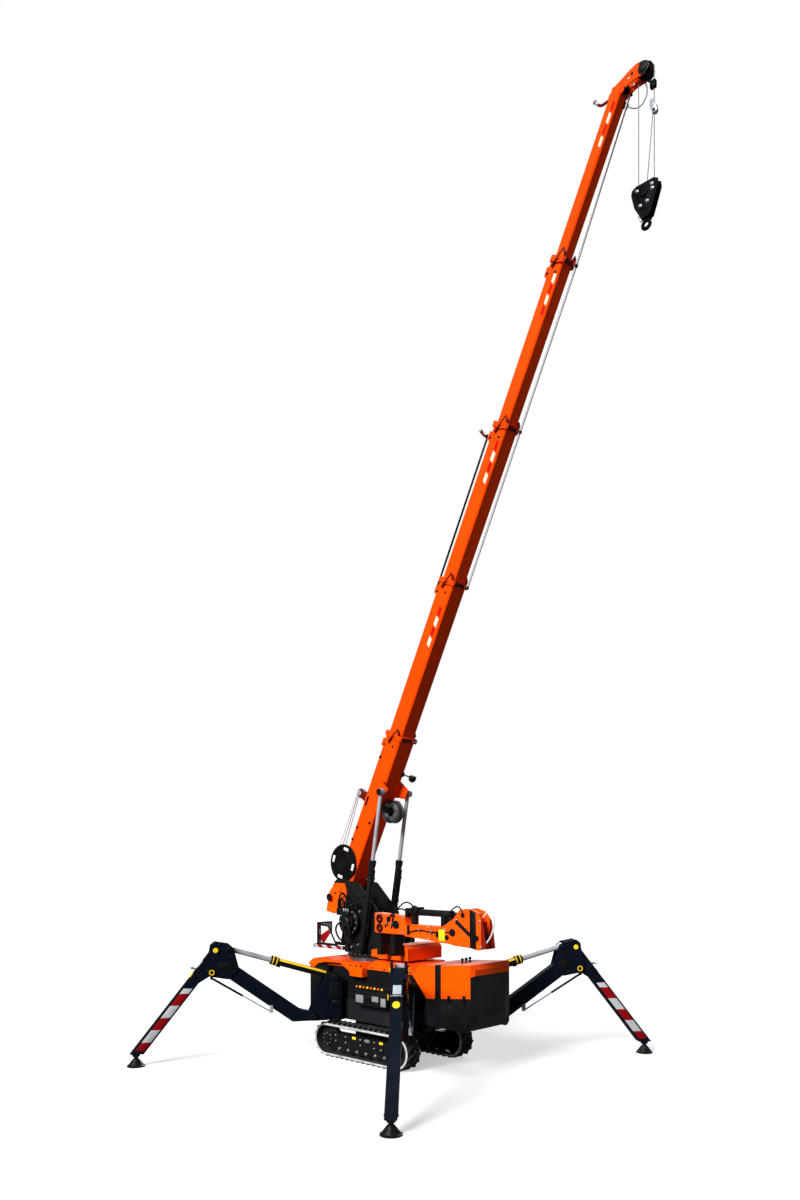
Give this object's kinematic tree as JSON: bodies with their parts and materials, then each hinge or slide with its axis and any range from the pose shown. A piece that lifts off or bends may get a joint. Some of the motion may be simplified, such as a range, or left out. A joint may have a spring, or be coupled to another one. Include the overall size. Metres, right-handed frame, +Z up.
{
  "type": "crawler crane",
  "caption": "Compact crawler crane with rubber tracks, slewing turret, raised telescopic boom, stowed jib, hook block and folding outrigger legs.",
  "frame": {"origin": "slewing axis where it meets the ground", "axes": "+X along the boom and the engine hood, +Y to the left of that, +Z up"},
  "size_m": [5.5605, 5.265, 10.3829],
  "materials": {
    "track_rubber": "matt, dusty tread",
    "dark_steel": "satin dark grey paint",
    "wheel_iron": "dull black casting",
    "body_plastic": "matt black moulded panels",
    "orange_cover": "orange gloss covers",
    "panel_grey": "light grey paint",
    "engine_metal": "plain block",
    "black_paint": "gloss black paint",
    "reel_plastic": "matt black",
    "orange_paint": "orange gloss paint",
    "jib_paint": "orange gloss paint",
    "drum_steel": "wound steel rope",
    "rope_steel": "bare wire rope",
    "chrome_rod": "polished chrome",
    "leg_steel": "satin near-black paint",
    "leg_paint": "satin near-black paint",
    "pad_black": "matt black paint"
  },
  "bodies": {
    "chassis": {"left_track": "track_rubber", "right_track": "track_rubber", "track_frames": "dark_steel", "track_wheels": "wheel_iron", "chassis_frame": "dark_steel", "body_panels": "body_plastic", "rear_cover": "orange_cover", "centre_cover": "orange_cover", "control_panel": "panel_grey", "hood_cover": "orange_cover", "hood_skirt": "body_plastic", "engine_block": "engine_metal", "slew_bearing": "dark_steel"},
    "turret": {"turret_frame": "dark_steel", "pivot_plates": "orange_paint", "turret_cover": "orange_cover", "slew_drive": "black_paint", "tail_marker": "dark_steel", "jib_cradle": "dark_steel", "jib_arm": "jib_paint", "jib_head": "orange_paint", "jib_cylinder": "black_paint"},
    "lift_barrels": {"lift_barrels": "black_paint"},
    "lift_rods": {"lift_rods": "chrome_rod"},
    "boom": {"boom_base": "orange_paint", "winch_frame": "black_paint", "rope_guide": "black_paint", "cable_reel": "reel_plastic"},
    "winch_drum": {"winch_drum": "drum_steel"},
    "boom_2": {"boom_section_2": "orange_paint"},
    "boom_3": {"boom_section_3": "orange_paint"},
    "boom_4": {"boom_section_4": "orange_paint"},
    "boom_5": {"boom_section_5": "orange_paint", "boom_head": "orange_paint"},
    "hook": {"hoist_ropes": "rope_steel", "hook_block": "black_paint"},
    "rear_right_swing": {"rear_right_bracket": "leg_steel"},
    "rear_right_arm": {"rear_right_arm": "leg_paint"},
    "rear_right_leg": {"rear_right_lower_leg": "leg_paint", "rear_right_foot_pad": "pad_black"},
    "rear_right_barrel": {"rear_right_cylinder_barrel": "black_paint"},
    "rear_right_rod": {"rear_right_cylinder_rod": "chrome_rod"},
    "front_right_swing": {"front_right_bracket": "leg_steel"},
    "front_right_arm": {"front_right_arm": "leg_paint"},
    "front_right_leg": {"front_right_lower_leg": "leg_paint", "front_right_foot_pad": "pad_black"},
    "front_right_barrel": {"front_right_cylinder_barrel": "black_paint"},
    "front_right_rod": {"front_right_cylinder_rod": "chrome_rod"},
    "front_left_swing": {"front_left_bracket": "leg_steel"},
    "front_left_arm": {"front_left_arm": "leg_paint"},
    "front_left_leg": {"front_left_lower_leg": "leg_paint", "front_left_foot_pad": "pad_black"},
    "front_left_barrel": {"front_left_cylinder_barrel": "black_paint"},
    "front_left_rod": {"front_left_cylinder_rod": "chrome_rod"},
    "rear_left_swing": {"rear_left_bracket": "leg_steel"},
    "rear_left_arm": {"rear_left_arm": "leg_paint"},
    "rear_left_leg": {"rear_left_lower_leg": "leg_paint", "rear_left_foot_pad": "pad_black"},
    "rear_left_barrel": {"rear_left_cylinder_barrel": "black_paint"},
    "rear_left_rod": {"rear_left_cylinder_rod": "chrome_rod"}
  },
  "joints": [
    {"name": "slew", "type": "hinge", "parent": "chassis", "child": "turret", "pos_m": [0, 0, 0], "axis": [0, 0, 1], "continuous": true},
    {"name": "boom_luff", "type": "hinge", "parent": "turret", "child": "boom", "pos_m": [-0.4, 0, 2.09], "axis": [0, -1, 0], "range_deg": [-59, 16]},
    {"name": "lift_barrel_swing", "type": "hinge", "parent": "turret", "child": "lift_barrels", "pos_m": [0.08, 0, 1.3305], "axis": [0, -1, 0], "range_deg": [-45.66, 13.11]},
    {"name": "lift_rod_slide", "type": "slide", "parent": "lift_barrels", "child": "lift_rods", "axis": [0.1681, 0, 0.9858], "range_m": [-0.8029, 0.225]},
    {"name": "winch_turn", "type": "hinge", "parent": "boom", "child": "winch_drum", "pos_m": [-0.50358, 0, 2.47986], "axis": [0, 1, 0], "continuous": true},
    {"name": "telescope_2", "type": "slide", "parent": "boom", "child": "boom_2", "axis": [0.4384, 0, 0.8988], "range_m": [-1.709, 0]},
    {"name": "telescope_3", "type": "slide", "parent": "boom_2", "child": "boom_3", "axis": [0.4384, 0, 0.8988], "range_m": [-1.536, 0.005]},
    {"name": "telescope_4", "type": "slide", "parent": "boom_3", "child": "boom_4", "axis": [0.4384, 0, 0.8988], "range_m": [-1.471, 0.005]},
    {"name": "telescope_5", "type": "slide", "parent": "boom_4", "child": "boom_5", "axis": [0.4384, 0, 0.8988], "range_m": [-1.412, 0.005]},
    {"name": "hook_swing", "type": "hinge", "parent": "boom_5", "child": "hook", "pos_m": [3.87733, 0, 10.30094], "axis": [0, 1, 0], "range_deg": [-59, 16]},
    {"name": "rear_right_swing", "type": "hinge", "parent": "chassis", "child": "rear_right_swing", "pos_m": [-0.19, -0.46, 0.44], "axis": [0, 0, -1], "range_deg": [-16, 29]},
    {"name": "rear_right_raise", "type": "hinge", "parent": "rear_right_swing", "child": "rear_right_arm", "pos_m": [-0.33421, -0.70001, 0.5], "axis": [-0.8572, 0.515, 0], "range_deg": [-8, 40]},
    {"name": "rear_right_fold", "type": "hinge", "parent": "rear_right_arm", "child": "rear_right_leg", "pos_m": [-0.97955, -1.77404, 1.098], "axis": [0.8572, -0.515, 0], "range_deg": [0, 90]},
    {"name": "rear_right_barrel_tilt", "type": "hinge", "parent": "rear_right_swing", "child": "rear_right_barrel", "pos_m": [-0.19515, -0.46857, 0.985], "axis": [-0.8572, 0.515, 0], "range_deg": [-10, 43.5]},
    {"name": "rear_right_rod_slide", "type": "slide", "parent": "rear_right_barrel", "child": "rear_right_rod", "axis": [-0.4939, -0.8219, 0.2837], "range_m": [-0.38, 0.08]},
    {"name": "front_right_swing", "type": "hinge", "parent": "chassis", "child": "front_right_swing", "pos_m": [1.07, -0.46, 0.44], "axis": [0, 0, 1], "range_deg": [-24, 25]},
    {"name": "front_right_raise", "type": "hinge", "parent": "front_right_swing", "child": "front_right_arm", "pos_m": [1.24772, -0.67636, 0.5], "axis": [-0.7727, -0.6347, 0], "range_deg": [-8, 40]},
    {"name": "front_right_fold", "type": "hinge", "parent": "front_right_arm", "child": "front_right_leg", "pos_m": [2.04304, -1.6446, 1.098], "axis": [0.7727, 0.6347, 0], "range_deg": [0, 90]},
    {"name": "front_right_barrel_tilt", "type": "hinge", "parent": "front_right_swing", "child": "front_right_barrel", "pos_m": [1.07635, -0.46773, 0.985], "axis": [-0.7727, -0.6347, 0], "range_deg": [-10, 43.5]},
    {"name": "front_right_rod_slide", "type": "slide", "parent": "front_right_barrel", "child": "front_right_rod", "axis": [0.6086, -0.741, 0.2837], "range_m": [-0.38, 0.08]},
    {"name": "front_left_swing", "type": "hinge", "parent": "chassis", "child": "front_left_swing", "pos_m": [1.07, 0.46, 0.44], "axis": [0, 0, -1], "range_deg": [-24, 25]},
    {"name": "front_left_raise", "type": "hinge", "parent": "front_left_swing", "child": "front_left_arm", "pos_m": [1.24772, 0.67636, 0.5], "axis": [0.7727, -0.6347, 0], "range_deg": [-8, 40]},
    {"name": "front_left_fold", "type": "hinge", "parent": "front_left_arm", "child": "front_left_leg", "pos_m": [2.04304, 1.6446, 1.098], "axis": [-0.7727, 0.6347, 0], "range_deg": [0, 90]},
    {"name": "front_left_barrel_tilt", "type": "hinge", "parent": "front_left_swing", "child": "front_left_barrel", "pos_m": [1.07635, 0.46773, 0.985], "axis": [0.7727, -0.6347, 0], "range_deg": [-10, 43.5]},
    {"name": "front_left_rod_slide", "type": "slide", "parent": "front_left_barrel", "child": "front_left_rod", "axis": [0.6086, 0.741, 0.2837], "range_m": [-0.38, 0.08]},
    {"name": "rear_left_swing", "type": "hinge", "parent": "chassis", "child": "rear_left_swing", "pos_m": [-0.19, 0.46, 0.44], "axis": [0, 0, 1], "range_deg": [-16, 29]},
    {"name": "rear_left_raise", "type": "hinge", "parent": "rear_left_swing", "child": "rear_left_arm", "pos_m": [-0.33421, 0.70001, 0.5], "axis": [0.8572, 0.515, 0], "range_deg": [-8, 40]},
    {"name": "rear_left_fold", "type": "hinge", "parent": "rear_left_arm", "child": "rear_left_leg", "pos_m": [-0.97955, 1.77404, 1.098], "axis": [-0.8572, -0.515, 0], "range_deg": [0, 90]},
    {"name": "rear_left_barrel_tilt", "type": "hinge", "parent": "rear_left_swing", "child": "rear_left_barrel", "pos_m": [-0.19515, 0.46857, 0.985], "axis": [0.8572, 0.515, 0], "range_deg": [-10, 43.5]},
    {"name": "rear_left_rod_slide", "type": "slide", "parent": "rear_left_barrel", "child": "rear_left_rod", "axis": [-0.4939, 0.8219, 0.2837], "range_m": [-0.38, 0.08]}
  ],
  "couplings": [
    {"joint": "lift_barrel_swing", "follows": "boom_luff", "ratio": 0.757},
    {"joint": "lift_rod_slide", "follows": "boom_luff", "m_per_rad": 0.77},
    {"joint": "telescope_3", "follows": "telescope_2", "ratio": 0.89585},
    {"joint": "telescope_4", "follows": "telescope_2", "ratio": 0.85781},
    {"joint": "telescope_5", "follows": "telescope_2", "ratio": 0.82329},
    {"joint": "rear_right_barrel_tilt", "follows": "rear_right_raise", "ratio": 1.06},
    {"joint": "rear_right_rod_slide", "follows": "rear_right_raise", "m_per_rad": -0.5375},
    {"joint": "front_right_barrel_tilt", "follows": "front_right_raise", "ratio": 1.06},
    {"joint": "front_right_rod_slide", "follows": "front_right_raise", "m_per_rad": -0.5375},
    {"joint": "front_left_barrel_tilt", "follows": "front_left_raise", "ratio": 1.06},
    {"joint": "front_left_rod_slide", "follows": "front_left_raise", "m_per_rad": -0.5375},
    {"joint": "rear_left_barrel_tilt", "follows": "rear_left_raise", "ratio": 1.06},
    {"joint": "rear_left_rod_slide", "follows": "rear_left_raise", "m_per_rad": -0.5375}
  ]
}
